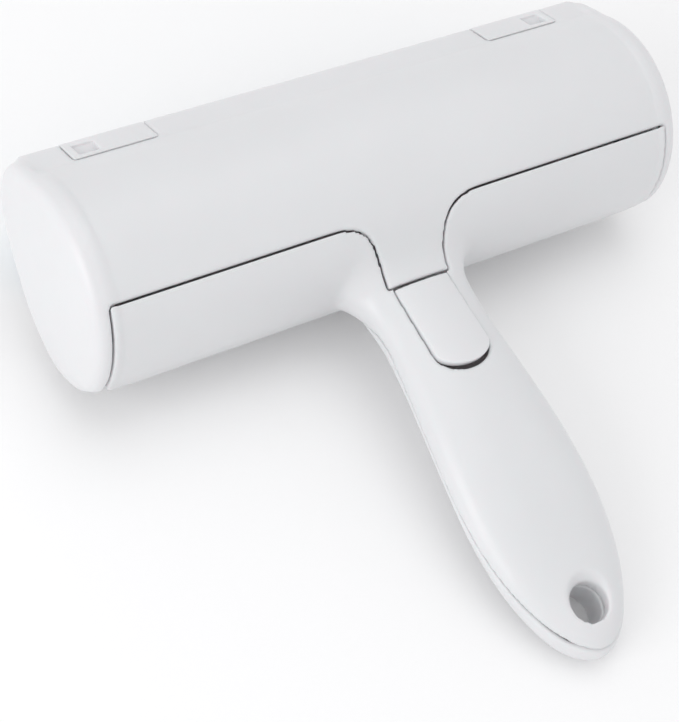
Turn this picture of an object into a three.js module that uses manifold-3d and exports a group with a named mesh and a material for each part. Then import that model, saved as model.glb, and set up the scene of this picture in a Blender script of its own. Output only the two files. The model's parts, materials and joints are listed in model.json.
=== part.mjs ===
// Reusable hair-pick-up roller with a tipping drum, a hinged lid and a lever on the handle.
// Millimetres, +Z up.  Everything is laid out in the head frame: the drum axis is the origin,
// X runs along the drum, the handle points along -Y and the lid faces +Z.  At the end the whole
// part is tilted and lifted so that it lies on a table on its drum and the tip of its handle.
import * as THREE from 'three';
import { mergeVertices } from 'three/addons/utils/BufferGeometryUtils.js';
import Module from 'manifold-3d';

const wasm = await Module();
wasm.setup();

// ---------------------------------------------------------------- driving dimensions
const GAP = 0.35; // clearance between neighbouring pieces
const PIN_GAP = 0.2; // clearance around the small pins
const WALL = 2.0; // moulded wall
const BARREL_R = 29.8; // outside radius of the head
const HEAD_HALF = 88.0; // half length of the barrel, without the cheeks
const CHEEK_BULGE = 6.5; // how far each domed cheek stands out
const SEAM_Y = -17.9; // straight part of the lid seam
const SEAM_HALF = 25.0; // where the seam leaves the straight on each side
const TONGUE_HALF = 9.5;
const TONGUE_END = -33.6;
const RIM_Z = -8.5; // lower edge of the near shell
const RAIL = { y0: 27.3, y1: 32.4, z0: 0.3, z1: 6.0 };
const WORK_TURN = 20; // the working side looks this far from -Z towards +Y
const CHORD = 15.0; // depth of the end walls on the working side
const HINGE = { y: 30.2, z: 9.2, pinR: 1.0, tubeR: 2.2, in: 53.0, out: 77.0 };
const DRUM = { r: 25.2, inner: 22.3, half: 84.4, spread: 93, fabricR: 25.6 };
const DISC_R = 24.0; // end wall around the axle
const SLOT = { half: 2.95, flare: 3.7, lip: 1.5, from: 2.0, to: 82.0 };
const FABRIC = { from: 10.6, to: 36.0, half: 83.0, floor: 23.7 };
const AXLE_R = 4.0;
const END_WALL = { x0: 85.7, x1: 87.7 };
const SPLIT_Z = 5.5; // parting plane of the handle halves
const PARTING = [
  [-160, SPLIT_Z], [-48, SPLIT_Z], [-42, 4.3], [-37.5, 1.6], [-34.5, -2.0], [-33, -6], [-32.4, -12],
  [-5, -12],
];
const HOLE = { y: -129.2, r: 5.5, back: 9.5, front: -3.5 }; // the rims flare from these depths
const BUTTON = {
  y0: -34.7, y1: -60.8, half: 8.4, room: 1.2, pivotY: -46.5, pivotZ: 8.8, pinR: 1.1,
};
const BUTTON_SLOPE = [[-33, 12.2], [-66, 16.6]]; // top of the button, rising to its tail
const COMB_RIBS = 9;
const COMB_PITCH = 17.5;
const REST_TILT = 9.03; // degrees about X
const REST_SHIFT = { y: 54.85, z: 25.6 };

// handle half width, back height and front height at stations along the handle
const HANDLE = [
  // y, half width, back z, front z, squareness
  [-14.0, 27.6, 21.6, -7.4, 3.2],
  [-20.5, 27.6, 20.8, -7.4, 3.2],
  [-23.0, 26.6, 18.9, -7.4, 3.1],
  [-25.0, 24.8, 17.0, -7.4, 3.0],
  [-27.0, 22.6, 15.1, -7.3, 2.9],
  [-29.0, 20.5, 13.7, -7.0, 2.8],
  [-31.0, 18.9, 12.8, -6.4, 2.7],
  [-34.0, 17.2, 12.2, -5.2, 2.5],
  [-38.0, 16.3, 12.3, -3.8, 2.4],
  [-44.0, 15.9, 12.9, -2.7, 2.4],
  [-50.0, 15.9, 13.5, -2.1, 2.4],
  [-60.0, 16.7, 14.5, -1.7, 2.4],
  [-70.0, 17.7, 15.1, -1.6, 2.4],
  [-80.0, 18.7, 15.3, -1.7, 2.4],
  [-90.0, 19.4, 15.0, -2.1, 2.4],
  [-100.0, 19.7, 14.2, -2.7, 2.4],
  [-110.0, 19.0, 13.2, -3.5, 2.4],
  [-120.0, 17.1, 12.1, -4.3, 2.4],
  [-128.0, 14.4, 11.0, -4.7, 2.3],
  [-133.5, 11.7, 9.8, -4.6, 2.3],
  [-137.5, 8.9, 8.4, -3.8, 2.2],
  [-140.3, 5.9, 6.9, -2.5, 2.1],
  [-141.9, 3.3, 5.4, -1.0, 2.0],
  [-142.6, 1.3, 3.9, 0.5, 2.0],
];
const GRIP = { from: -45, to: -105, crest: -55, pitch: 20, depth: 1.2 };

// ---------------------------------------------------------------- finishes
const WHITE = new THREE.MeshStandardMaterial({ color: 0xf1f1ef, roughness: 0.42, metalness: 0 });
const INNER = new THREE.MeshStandardMaterial({ color: 0xe6e5e3, roughness: 0.5, metalness: 0 });
const BLUE = new THREE.MeshStandardMaterial({ color: 0x4fb4d8, roughness: 0.95, metalness: 0 });
const STEEL = new THREE.MeshStandardMaterial({ color: 0xb4b6b9, roughness: 0.3, metalness: 1 });
const ACETAL = new THREE.MeshStandardMaterial({ color: 0xd9d8d2, roughness: 0.45, metalness: 0 });

// ---------------------------------------------------------------- solid helpers
function solid(geometry) {
  const bare = geometry.clone();
  bare.deleteAttribute('normal');
  bare.deleteAttribute('uv');
  const g = mergeVertices(bare, 1e-4);
  return new wasm.Manifold(
    new wasm.Mesh({
      numProp: 3,
      vertProperties: new Float32Array(g.attributes.position.array),
      triVerts: new Uint32Array(g.index.array),
    }),
  );
}

function geometryOf(body) {
  const mesh = body.getMesh();
  const g = new THREE.BufferGeometry();
  g.setAttribute('position', new THREE.BufferAttribute(new Float32Array(mesh.vertProperties), 3));
  g.setIndex(new THREE.BufferAttribute(new Uint32Array(mesh.triVerts), 1));
  return g;
}

function mirrored(body) {
  const g = geometryOf(body);
  g.scale(-1, 1, 1);
  g.index.array.reverse();
  return solid(g);
}

function turned(body, degrees) {
  const g = geometryOf(body);
  g.rotateX(THREE.MathUtils.degToRad(degrees));
  return solid(g);
}

function onSide(side, body) {
  return side > 0 ? body : mirrored(body);
}

function box(x0, x1, y0, y1, z0, z1) {
  const g = new THREE.BoxGeometry(x1 - x0, y1 - y0, z1 - z0);
  g.translate((x0 + x1) / 2, (y0 + y1) / 2, (z0 + z1) / 2);
  return solid(g);
}

function rodX(r, x0, x1, y, z, segments = 32) {
  const g = new THREE.CylinderGeometry(r, r, x1 - x0, segments);
  g.rotateZ(Math.PI / 2);
  g.translate((x0 + x1) / 2, y, z);
  return solid(g);
}

function coneZ(rLow, rHigh, z0, z1, x, y, segments = 40) {
  const g = new THREE.CylinderGeometry(rHigh, rLow, z1 - z0, segments);
  g.rotateX(Math.PI / 2);
  g.translate(x, y, (z0 + z1) / 2);
  return solid(g);
}

function outline(points) {
  return new THREE.Shape(points.map(([u, v]) => new THREE.Vector2(u, v)));
}

// prism of a YZ outline between two X planes
function prismX(points, x0, x1) {
  const g = new THREE.ExtrudeGeometry(outline(points), { depth: x1 - x0, bevelEnabled: false });
  const turn = new THREE.Matrix4().makeBasis(
    new THREE.Vector3(0, 1, 0),
    new THREE.Vector3(0, 0, 1),
    new THREE.Vector3(1, 0, 0),
  );
  g.applyMatrix4(turn);
  g.translate(x0, 0, 0);
  return solid(g);
}

// prism of an XY outline between two Z planes
function prismZ(points, z0, z1) {
  const g = new THREE.ExtrudeGeometry(outline(points), { depth: z1 - z0, bevelEnabled: false });
  g.translate(0, 0, z0);
  return solid(g);
}

// points of an arc in the YZ plane; 0 degrees is +Y, 90 degrees is +Z
function arc(r, from, to, steps, y = 0, z = 0) {
  const out = [];
  for (let i = 0; i <= steps; i += 1) {
    const a = THREE.MathUtils.degToRad(from + ((to - from) * i) / steps);
    out.push([y + r * Math.cos(a), z + r * Math.sin(a)]);
  }
  return out;
}

function sector(rIn, rOut, from, to, x0, x1, steps = 24) {
  return prismX([...arc(rOut, from, to, steps), ...arc(rIn, to, from, steps)], x0, x1);
}

// closed skin over a list of equal rings, each a list of THREE.Vector3, capped at both ends
function skin(rings) {
  const n = rings[0].length;
  const points = rings.flat();
  const first = points.length;
  points.push(centre(rings[0]), centre(rings[rings.length - 1]));
  const faces = [];
  for (let i = 0; i + 1 < rings.length; i += 1) {
    for (let j = 0; j < n; j += 1) {
      const a = i * n + j;
      const b = i * n + ((j + 1) % n);
      faces.push(a, b, b + n, a, b + n, a + n);
    }
  }
  const last = (rings.length - 1) * n;
  for (let j = 0; j < n; j += 1) {
    const k = (j + 1) % n;
    faces.push(first, k, j, first + 1, last + j, last + k);
  }
  const g = new THREE.BufferGeometry();
  g.setAttribute('position', new THREE.Float32BufferAttribute(points.flatMap((p) => p.toArray()), 3));
  g.setIndex(faces);
  return solid(g);
}

function centre(ring) {
  const c = new THREE.Vector3();
  ring.forEach((p) => c.add(p));
  return c.divideScalar(ring.length);
}

// rounded-square ring across the handle; the wave moves only the middle of the front
function handleRing(y, half, back, front, power, count, wave = 0) {
  const zMid = (back + front) / 2;
  const zHalf = (back - front) / 2;
  const ring = [];
  for (let j = 0; j < count; j += 1) {
    const t = (2 * Math.PI * j) / count;
    const c = Math.cos(t);
    const s = Math.sin(t);
    const x = half * Math.sign(c) * Math.abs(c) ** (2 / power);
    const z = zMid + zHalf * Math.sign(s) * Math.abs(s) ** (2 / power);
    const dip = s < 0 ? -wave * Math.abs(s) ** 3 : 0;
    ring.push(new THREE.Vector3(x, y, z + dip));
  }
  return ring;
}

function grip(y) {
  if (y > GRIP.from || y < GRIP.to) return 0;
  const fade = Math.min(1, (GRIP.from - y) / 5, (y - GRIP.to) / 5);
  return GRIP.depth * fade * Math.cos((2 * Math.PI * (y - GRIP.crest)) / GRIP.pitch);
}

// value of the handle table between two stations, with an easy curve through the stations
function station(y) {
  let i = 1;
  while (i < HANDLE.length - 2 && HANDLE[i + 1][0] > y) i += 1;
  if (y > HANDLE[1][0]) i = 0;
  const a = HANDLE[Math.max(i - 1, 0)];
  const b = HANDLE[i];
  const c = HANDLE[Math.min(i + 1, HANDLE.length - 1)];
  const d = HANDLE[Math.min(i + 2, HANDLE.length - 1)];
  const span = c[0] - b[0];
  const t = (y - b[0]) / span;
  const out = [y];
  for (let k = 1; k < 5; k += 1) {
    const m0 = a === b ? (c[k] - b[k]) / span : (c[k] - a[k]) / (c[0] - a[0]);
    const m1 = d === c ? (c[k] - b[k]) / span : (d[k] - b[k]) / (d[0] - b[0]);
    const h = t * t * (3 - 2 * t);
    const bend = (t - 2 * t * t + t * t * t) * m0 + (t * t * t - t * t) * m1;
    out.push(b[k] * (1 - h) + c[k] * h + bend * span);
  }
  return out;
}

function handleLoft(from, to, inset, count, step) {
  const rings = [];
  const stops = [];
  for (let y = from; y > to + 0.6 * step; y -= step) stops.push(y);
  stops.push(to);
  if (inset === 0) stops.push(-137.5, -139.3, -140.9, -141.9, -142.6);
  stops.sort((p, q) => q - p);
  for (const y of stops) {
    const [, half, back, front, power] = station(y);
    rings.push(handleRing(y, half - inset, back - inset, front + inset, power, count, grip(y)));
  }
  return skin(rings);
}

// ---------------------------------------------------------------- shared bodies
const handleOuter = handleLoft(-14, -135, 0, 40, 3);
const handleInner = handleLoft(-36, -136, WALL, 28, 6);
const chamber = rodX(BARREL_R - WALL, -100, 100, 0, 0, 96);

// plan outline of the lid: straight seam, S curve and tongue, widened by an offset
function lidPlan(extra) {
  const half = TONGUE_HALF + extra;
  const edge = SEAM_Y - extra;
  const right = [
    [120, edge],
    [SEAM_HALF, edge],
  ];
  const p0 = new THREE.Vector2(SEAM_HALF, edge);
  const p1 = new THREE.Vector2(13.5 + extra, edge);
  const p2 = new THREE.Vector2(10.4 + extra, SEAM_Y - 3);
  const p3 = new THREE.Vector2(half, TONGUE_END + 2.6);
  const curve = new THREE.CubicBezierCurve(p0, p1, p2, p3);
  curve.getPoints(14).slice(1).forEach((p) => right.push([p.x, p.y]));
  right.push([half, TONGUE_END - extra]);
  const left = right.map(([x, y]) => [-x, y]);
  return [[120, 60], [-120, 60], ...left, ...right.reverse()];
}

function buttonPlan(extra, tail = 0) {
  const half = BUTTON.half + extra;
  const y0 = BUTTON.y0 + extra;
  const shoulder = BUTTON.y1 + 5.4;
  const points = [[half, y0], [-half, y0], [-half, shoulder]];
  for (let i = 1; i < 16; i += 1) {
    const a = Math.PI + (Math.PI * i) / 16;
    points.push([half * Math.cos(a), shoulder + (5.4 + tail) * Math.sin(a)]);
  }
  points.push([half, shoulder]);
  return points;
}

// parting line of the handle halves, which runs down to the front where the neck starts
function parting(shift) {
  return PARTING.map(([y, z]) => [y + shift, z + shift]);
}

// ---------------------------------------------------------------- housing
function baseShell() {
  const seamAngle = 180 - THREE.MathUtils.radToDeg(Math.asin(22 / BARREL_R));
  const rimAngle = 180 + THREE.MathUtils.radToDeg(Math.asin(-RIM_Z / BARREL_R));
  const near = sector(BARREL_R - WALL, BARREL_R, seamAngle - 12, rimAngle, -HEAD_HALF, HEAD_HALF, 36);
  const rim = rodX(1.0, -HEAD_HALF + 9, HEAD_HALF - 9, -27.5, RIM_Z, 12);
  const back = prismX([...parting(GAP / 2), [-5, 60], [-160, 60]], -60, 60);
  let neck = handleOuter.intersect(back).subtract(handleInner).subtract(chamber);
  neck = neck.subtract(box(-60, 60, -26.5, 20, -20, SPLIT_Z));
  const sleeve = coneZ(8.2, 8.2, SPLIT_Z + GAP / 2, 14, 0, HOLE.y);
  neck = neck.add(sleeve.intersect(handleOuter));
  let body = near.add(rim).add(neck);
  body = body.subtract(prismZ(lidPlan(GAP), 7.0, 60));
  body = body.subtract(box(-BUTTON.half, BUTTON.half, BUTTON.y0 - 0.5, TONGUE_END + 0.3, 7.0, 60));
  body = body.subtract(prismZ(buttonPlan(GAP, BUTTON.room), 7.0, 60));
  body = body.subtract(coneZ(HOLE.r, HOLE.r, -20, 30, 0, HOLE.y));
  body = body.subtract(coneZ(HOLE.r, HOLE.r + 4, HOLE.back, HOLE.back + 4, 0, HOLE.y));
  for (const side of [-1, 1]) body = body.subtract(cornerCut(side));
  return body;
}

// rounds the lower end corner of the near shell
function cornerCut(side) {
  const r = 9;
  const points = [];
  const cx = HEAD_HALF - r;
  const cz = RIM_Z - 1 + r;
  for (let i = 0; i <= 10; i += 1) {
    const a = -(Math.PI / 2) + (Math.PI / 2) * (i / 10);
    points.push([cx + r * Math.cos(a), cz + r * Math.sin(a)]);
  }
  points.push([HEAD_HALF + 6, cz], [HEAD_HALF + 6, cz - r - 8], [cx, cz - r - 8]);
  const g = new THREE.ExtrudeGeometry(outline(points), { depth: 24, bevelEnabled: false });
  g.rotateX(Math.PI / 2);
  g.translate(0, -14, 0);
  const cut = solid(g);
  return onSide(side, cut);
}

function handleFront() {
  const front = prismX([...parting(-GAP / 2), [-5, -40], [-160, -40]].reverse(), -60, 60);
  let body = handleOuter.intersect(front).subtract(handleInner);
  const sleeve = coneZ(8.2, 8.2, -10, SPLIT_Z - GAP / 2, 0, HOLE.y);
  body = body.add(sleeve.intersect(handleOuter));
  body = body.subtract(coneZ(HOLE.r, HOLE.r, -20, 30, 0, HOLE.y));
  return body.subtract(coneZ(HOLE.r + 4, HOLE.r, HOLE.front - 4, HOLE.front, 0, HOLE.y));
}

function endWall(side) {
  const r = BARREL_R - WALL - GAP;
  const x0 = side > 0 ? END_WALL.x0 : -END_WALL.x1;
  const x1 = side > 0 ? END_WALL.x1 : -END_WALL.x0;
  const upper = rodX(r, x0, x1, 0, 0, 64).subtract(box(-100, 100, -40, 40, -40, RIM_Z));
  const disc = upper.add(rodX(DISC_R, x0, x1, 0, 0, 64));
  const foot = prismX([[20, 1.0], [31.0, RAIL.z0], [RAIL.y1, 1.6], [RAIL.y1, 7.4], [20, 7.4]], x0, x1);
  const turn = THREE.MathUtils.degToRad(WORK_TURN);
  const chord = [[-60, -60], [60, -60], [60, -CHORD], [-60, -CHORD]].map(([u, v]) => [
    u * Math.cos(turn) - v * Math.sin(turn),
    u * Math.sin(turn) + v * Math.cos(turn),
  ]);
  return disc.add(foot).subtract(prismX(chord, -100, 100)).subtract(rodX(7.3, x0 - 1, x1 + 1, 0, 0, 40));
}

function hingeRail() {
  const { y0, y1, z0, z1 } = RAIL;
  const points = [
    [y0, z0 + 0.8], [y0 + 0.8, z0], [y1 - 1.4, z0], [y1, z0 + 1.4], [y1, z1], [y0, z1],
  ];
  return prismX(points, -END_WALL.x0 + GAP, END_WALL.x0 - GAP);
}

function rimComb() {
  const rOut = BARREL_R - WALL - GAP;
  const strip = sector(rOut - 0.9, rOut, 184, 196, -80, 80, 6);
  let body = strip;
  for (let i = 0; i < COMB_RIBS; i += 1) {
    const x = (i - (COMB_RIBS - 1) / 2) * COMB_PITCH;
    body = body.add(sector(rOut - 1.5, rOut - 0.2, 184, 196, x - 0.8, x + 0.8, 6));
  }
  return body;
}

function hingeBracket(side) {
  const { y, z } = HINGE;
  const inner = 49.2;
  const outer = 80.8;
  const base = box(inner, outer, RAIL.y0 + 1.2, RAIL.y1 - 0.1, RAIL.z1 + GAP, 6.75);
  let body = base;
  for (const x of [inner, outer - 3.2]) {
    body = body.add(box(x, x + 3.2, y - 2.0, y + 2.0, 6.5, z));
    body = body.add(rodX(2.0, x, x + 3.2, y, z, 24));
  }
  body = body.subtract(rodX(HINGE.pinR + PIN_GAP, inner - 1, outer + 1, y, z, 24));
  return onSide(side, body);
}

function buttonWell() {
  const z0 = SPLIT_Z + GAP + 0.15;
  let body = box(-10.3, 10.3, -62.6, -36.6, z0, z0 + 0.9);
  for (const side of [-1, 1]) {
    const x = side > 0 ? 9.2 : -10.3;
    body = body.add(box(x, x + 1.1, -62.6, -38.5, z0, 10.7));
  }
  body = body.intersect(handleLoft(-36, -71, WALL + 0.5, 32, 5));
  return body.subtract(rodX(BUTTON.pinR + PIN_GAP, -12, 12, BUTTON.pivotY, BUTTON.pivotZ, 20));
}

function coil(y, z0, z1) {
  const turns = 4;
  const points = [];
  const steps = turns * 9;
  for (let i = 0; i <= steps; i += 1) {
    const a = (2 * Math.PI * turns * i) / steps;
    const lift = z0 + ((z1 - z0) * i) / steps;
    points.push(new THREE.Vector3(2.1 * Math.cos(a), y + 2.1 * Math.sin(a), lift));
  }
  const path = new THREE.CatmullRomCurve3(points);
  const wire = new THREE.Shape();
  wire.absarc(0, 0, 0.35, 0, 2 * Math.PI);
  const g = new THREE.ExtrudeGeometry(wire, { steps, curveSegments: 5, extrudePath: path });
  return solid(g);
}

// ---------------------------------------------------------------- drum
// round-ended slot; the flared cutter opens the inner part of the wall only
function slotCutter(half, low) {
  const x0 = SLOT.from + SLOT.half;
  const x1 = SLOT.to - SLOT.half;
  let body = box(x0, x1, -half, half, low, -10);
  for (const x of [x0, x1]) body = body.add(coneZ(half, half, low, -10, x, 0, 24));
  return body;
}

function drumShell() {
  let body = sector(
    DRUM.inner, DRUM.r, 270 - DRUM.spread, 270 + DRUM.spread, -DRUM.half, DRUM.half, 60,
  );
  for (const side of [-1, 1]) {
    const a = 270 + side * FABRIC.from;
    const b = 270 + side * FABRIC.to;
    const lo = Math.min(a, b);
    const hi = Math.max(a, b);
    body = body.subtract(sector(FABRIC.floor, 30, lo, hi, -FABRIC.half, FABRIC.half, 10));
    body = body.subtract(onSide(side, slotCutter(SLOT.half, -40)));
    body = body.subtract(onSide(side, slotCutter(SLOT.flare, -DRUM.r + SLOT.lip)));
  }
  return turned(body, WORK_TURN);
}

function drumCap(side) {
  let body = rodX(DRUM.inner - GAP, 81.8, 84.2, 0, 0, 64);
  body = body.subtract(box(80, 90, -30, 30, 9, 40));
  body = body.add(rodX(7.5, 79.6, 82.5, 0, 0, 32));
  body = body.add(rodX(AXLE_R, 84, 88.0, 0, 0, 32));
  return onSide(side, turned(body, WORK_TURN));
}

function fabricStrip(side) {
  const edge = 0.8;
  const a = 270 + WORK_TURN + side * (FABRIC.from + edge);
  const b = 270 + WORK_TURN + side * (FABRIC.to - edge);
  const lo = Math.min(a, b);
  const hi = Math.max(a, b);
  const half = FABRIC.half - GAP;
  return sector(FABRIC.floor + GAP, DRUM.fabricR, lo, hi, -half, half, 10);
}

// ---------------------------------------------------------------- lid
// far edge of the flat band that runs along the lid
const BAND_EDGE = [[30.4, 14.2], [31.2, 13.2]];

// working-side edge of a cheek, from the band corner round to the near side
const CHEEK = [
  [20.5, 21.6], [25.7, 18.6], [29.2, 14.6], [30.8, 9.3], [29.7, 4.0], [26.4, -0.6], [20.2, -4.8],
  [12.8, -9.0], [6.6, -12.1], [0.0, -14.6], [-9.0, -16.2], [-17.0, -15.9], [-22.4, -13.1],
  [-26.2, -9.4], [-28.3, -5.4],
];

function cheekOutline(scale) {
  const edge = new THREE.SplineCurve(CHEEK.map(([y, z]) => new THREE.Vector2(y, z)));
  const pts = [...edge.getPoints(30).map((p) => [p.x, p.y]), ...arc(BARREL_R, 187, 50, 22)];
  return pts.map(([y, z]) => [1.5 + (y - 1.5) * scale, 2 + (z - 2) * scale]);
}

function cheekDome(x0, bulge, shrink) {
  const rings = [];
  for (const t of [0, 0.35, 0.58, 0.75, 0.87, 0.95, 0.99, 1.0]) {
    const inward = 0.65 * (1 - (1 - t ** 3.7) ** (1 / 2.8));
    const ring = cheekOutline((1 - inward) * shrink);
    rings.push(ring.map(([y, z]) => new THREE.Vector3(x0 + t * bulge, y, z)));
  }
  rings.forEach((ring) => ring.reverse());
  return skin(rings);
}

function lidShell() {
  // band: flat facet from the barrel to the hinge side
  const outer = [...arc(BARREL_R, 140, 40, 40), ...BAND_EDGE];
  const inner = [[29.5, 12.5], [21.8, 17.5], ...arc(BARREL_R - WALL, 44, 140, 36)];
  const shell = prismX([...outer, ...inner].reverse(), -HEAD_HALF - 0.6, HEAD_HALF + 0.6);
  const tongue = handleOuter.subtract(handleLoft(-10, -60, WALL, 32, 3.4));
  const over = box(-40, 40, -60, -12, 8.5, 40);
  let body = shell.add(tongue.intersect(over).subtract(chamber));
  body = body.intersect(prismZ(lidPlan(0), 4, 60));
  for (const side of [-1, 1]) {
    const notch = box(HINGE.in - GAP, HINGE.out + GAP, 23.2, 40, 0, 40);
    body = body.subtract(onSide(side, notch));
    const dome = cheekDome(HEAD_HALF + GAP, CHEEK_BULGE - GAP, 1);
    const hollow = cheekDome(HEAD_HALF - 2, CHEEK_BULGE, 0.925);
    const cheek = dome.subtract(hollow);
    body = body.add(onSide(side, cheek));
  }
  return body;
}

function hingeBlock(side) {
  const { y, z, in: x0, out: x1 } = HINGE;
  const facet = [[23.55, 18.68], ...BAND_EDGE, [31.2, z], [y - 1.2, z], [23.55, 15.9]];
  let body = prismX(facet.reverse(), x0, x1).add(rodX(HINGE.tubeR, x0, x1, y, z, 28));
  body = body.subtract(rodX(HINGE.pinR + PIN_GAP, x0 - 1, x1 + 1, y, z, 24));
  const window = box(68.8, 74.8, 24.9, 29.0, 12.2, 30);
  body = body.subtract(window);
  return onSide(side, body);
}

function lidCatch() {
  const points = [
    [-30.6, 10.1], [-32.0, 10.1], [-32.0, 9.0], [-32.9, 8.5], [-31.8, 7.4], [-30.6, 7.4],
  ];
  return prismX(points, -4.2, 4.2);
}

// ---------------------------------------------------------------- button
function buttonCap() {
  const top = skin(BUTTON_SLOPE.map(([y, z]) => handleRing(y, 15.6, z, -4, 2.4, 40)));
  const under = skin([
    handleRing(BUTTON_SLOPE[0][0] + 1, 14, BUTTON_SLOPE[0][1] - 2.2, -2, 2.4, 40),
    handleRing(BUTTON_SLOPE[1][0] - 1, 14, BUTTON_SLOPE[1][1] - 2.2, -2, 2.4, 40),
  ]);
  return prismZ(buttonPlan(0), 6, 30).intersect(top.subtract(under));
}

function buttonLever() {
  const { pivotY, pivotZ } = BUTTON;
  let body = box(-5.0, 5.0, pivotY - 3.5, TONGUE_END - 0.1, 8.6, 9.7);
  for (const side of [-1, 1]) {
    let ear = box(5.0, 6.4, pivotY - 3.5, pivotY + 3.5, pivotZ, 10.6);
    ear = ear.add(rodX(1.5, 5.0, 6.4, pivotY, pivotZ, 20));
    ear = ear.add(box(4.2, 6.4, pivotY - 3.5, pivotY + 3.5, 8.6, 9.7));
    body = body.add(onSide(side, ear));
  }
  return body.subtract(rodX(BUTTON.pinR + PIN_GAP, -12, 12, pivotY, pivotZ, 20));
}

// ---------------------------------------------------------------- assembly
const group = new THREE.Group();
group.name = 'pet_hair_roller';

function place(name, body, material) {
  const g = geometryOf(body);
  g.rotateX(THREE.MathUtils.degToRad(REST_TILT));
  g.translate(0, REST_SHIFT.y, REST_SHIFT.z);
  g.computeVertexNormals();
  const mesh = new THREE.Mesh(g, material);
  mesh.name = name;
  group.add(mesh);
}

place('base_shell', baseShell(), WHITE);
place('handle_front', handleFront(), WHITE);
place('hinge_rail', hingeRail(), WHITE);
place('rim_comb', rimComb(), WHITE);
place('button_well', buttonWell(), INNER);
place('drum_shell', drumShell(), WHITE);
place('lid_shell', lidShell(), WHITE);
place('lid_catch', lidCatch(), INNER);
place('button_cap', buttonCap(), WHITE);
place('button_lever', buttonLever(), INNER);
place('button_pin', rodX(BUTTON.pinR, -9.6, 9.6, BUTTON.pivotY, BUTTON.pivotZ, 20), STEEL);
place('button_spring', coil(-56, 7.4, 12.3), STEEL);

for (const [tag, side] of [['left', -1], ['right', 1]]) {
  place(`end_wall_${tag}`, endWall(side), INNER);
  place(`hinge_bracket_${tag}`, hingeBracket(side), WHITE);
  const pin = rodX(HINGE.pinR, 49.4, 80.6, HINGE.y, HINGE.z, 20);
  place(`hinge_pin_${tag}`, onSide(side, pin), STEEL);
  const ring = rodX(7.0, 85.4, 88.0, 0, 0, 40).subtract(rodX(AXLE_R + GAP, 80, 90, 0, 0, 32));
  place(`axle_bushing_${tag}`, onSide(side, ring), ACETAL);
  place(`drum_cap_${tag}`, drumCap(side), INNER);
  place(`hinge_block_${tag}`, hingeBlock(side), WHITE);
}

place('fabric_near', fabricStrip(-1), BLUE);
place('fabric_far', fabricStrip(1), BLUE);

export default group;
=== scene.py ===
"""Pet hair roller: fine shells, pick-up fabric, finishes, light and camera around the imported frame."""
from __future__ import annotations

import json
import logging
import math
from dataclasses import dataclass
from enum import Enum
from typing import Callable, Sequence

import bpy
import numpy as np
from mathutils import Matrix, Vector


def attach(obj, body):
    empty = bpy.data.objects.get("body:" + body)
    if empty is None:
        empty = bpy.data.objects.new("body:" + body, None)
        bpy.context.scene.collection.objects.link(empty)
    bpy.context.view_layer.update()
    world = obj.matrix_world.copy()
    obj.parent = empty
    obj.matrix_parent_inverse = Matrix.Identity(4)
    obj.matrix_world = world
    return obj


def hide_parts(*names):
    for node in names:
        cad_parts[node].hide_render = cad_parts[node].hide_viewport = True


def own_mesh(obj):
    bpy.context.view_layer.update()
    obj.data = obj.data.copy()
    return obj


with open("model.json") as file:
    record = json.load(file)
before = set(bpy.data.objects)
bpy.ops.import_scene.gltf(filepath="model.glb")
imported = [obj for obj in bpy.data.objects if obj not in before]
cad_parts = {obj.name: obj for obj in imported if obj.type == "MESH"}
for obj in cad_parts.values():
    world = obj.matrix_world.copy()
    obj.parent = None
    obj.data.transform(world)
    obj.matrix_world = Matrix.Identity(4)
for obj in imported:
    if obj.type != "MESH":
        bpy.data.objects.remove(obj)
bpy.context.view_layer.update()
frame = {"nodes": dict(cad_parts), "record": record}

LOG = logging.getLogger("pet_hair_roller")
MM = 0.001
BEYOND = 60.0  # millimetres; past the section of every shell
BEYOND_ENDS = 120.0  # millimetres; past both ends of the head

Outline = Sequence[tuple[float, float]]
Place = Callable[[Vector], float]


class Blend(Enum):
    """How one solid is worked into another."""

    JOIN = "UNION"
    CUT = "DIFFERENCE"
    KEEP = "INTERSECT"


class Body(Enum):
    """The bodies that pieces ride on."""

    HOUSING = "housing"
    DRUM = "drum"
    LID = "lid"
    BUTTON = "button"


class Along(Enum):
    """The direction that a prism runs in."""

    X = "x"
    Z = "z"


# ------------------------------------------------------------------ sizes
@dataclass(frozen=True)
class HeadSizes:
    """Sizes of the head in millimetres, about the drum axis."""

    radius: float = 29.55
    wall: float = 1.75
    half: float = 88.0
    overrun: float = 0.9
    bulge: float = 6.5
    gap: float = 0.35
    seam_y: float = -17.9
    seam_half: float = 25.0
    tongue_half: float = 9.5
    tongue_end: float = -33.6
    rim_z: float = -8.5
    cut_z: float = 7.0
    band_angle: float = 40.0
    band_edge: tuple[tuple[float, float], ...] = ((30.4, 14.2), (31.2, 13.2))
    work_turn: float = 20.0
    collar: float = 0.25
    collar_width: float = 1.5
    seam_gap: float = 0.5
    # How far past the inner wall the pinkish-grey painted shade reaches, in millimetres.
    painted_shade_reach: float = 0.4


@dataclass(frozen=True)
class HingeSizes:
    """Sizes of the two lid hinges in millimetres."""

    y: float = 30.2
    z: float = 9.2
    pin_radius: float = 1.0
    inner: float = 53.0
    outer: float = 77.0
    gap: float = 0.15
    notch_y: float = 23.4
    pin_from: float = 49.4
    pin_to: float = 80.6
    window_low: tuple[float, float, float] = (68.0, 24.4, 12.4)
    window_high: tuple[float, float, float] = (75.6, 29.6, 14.4)


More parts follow.
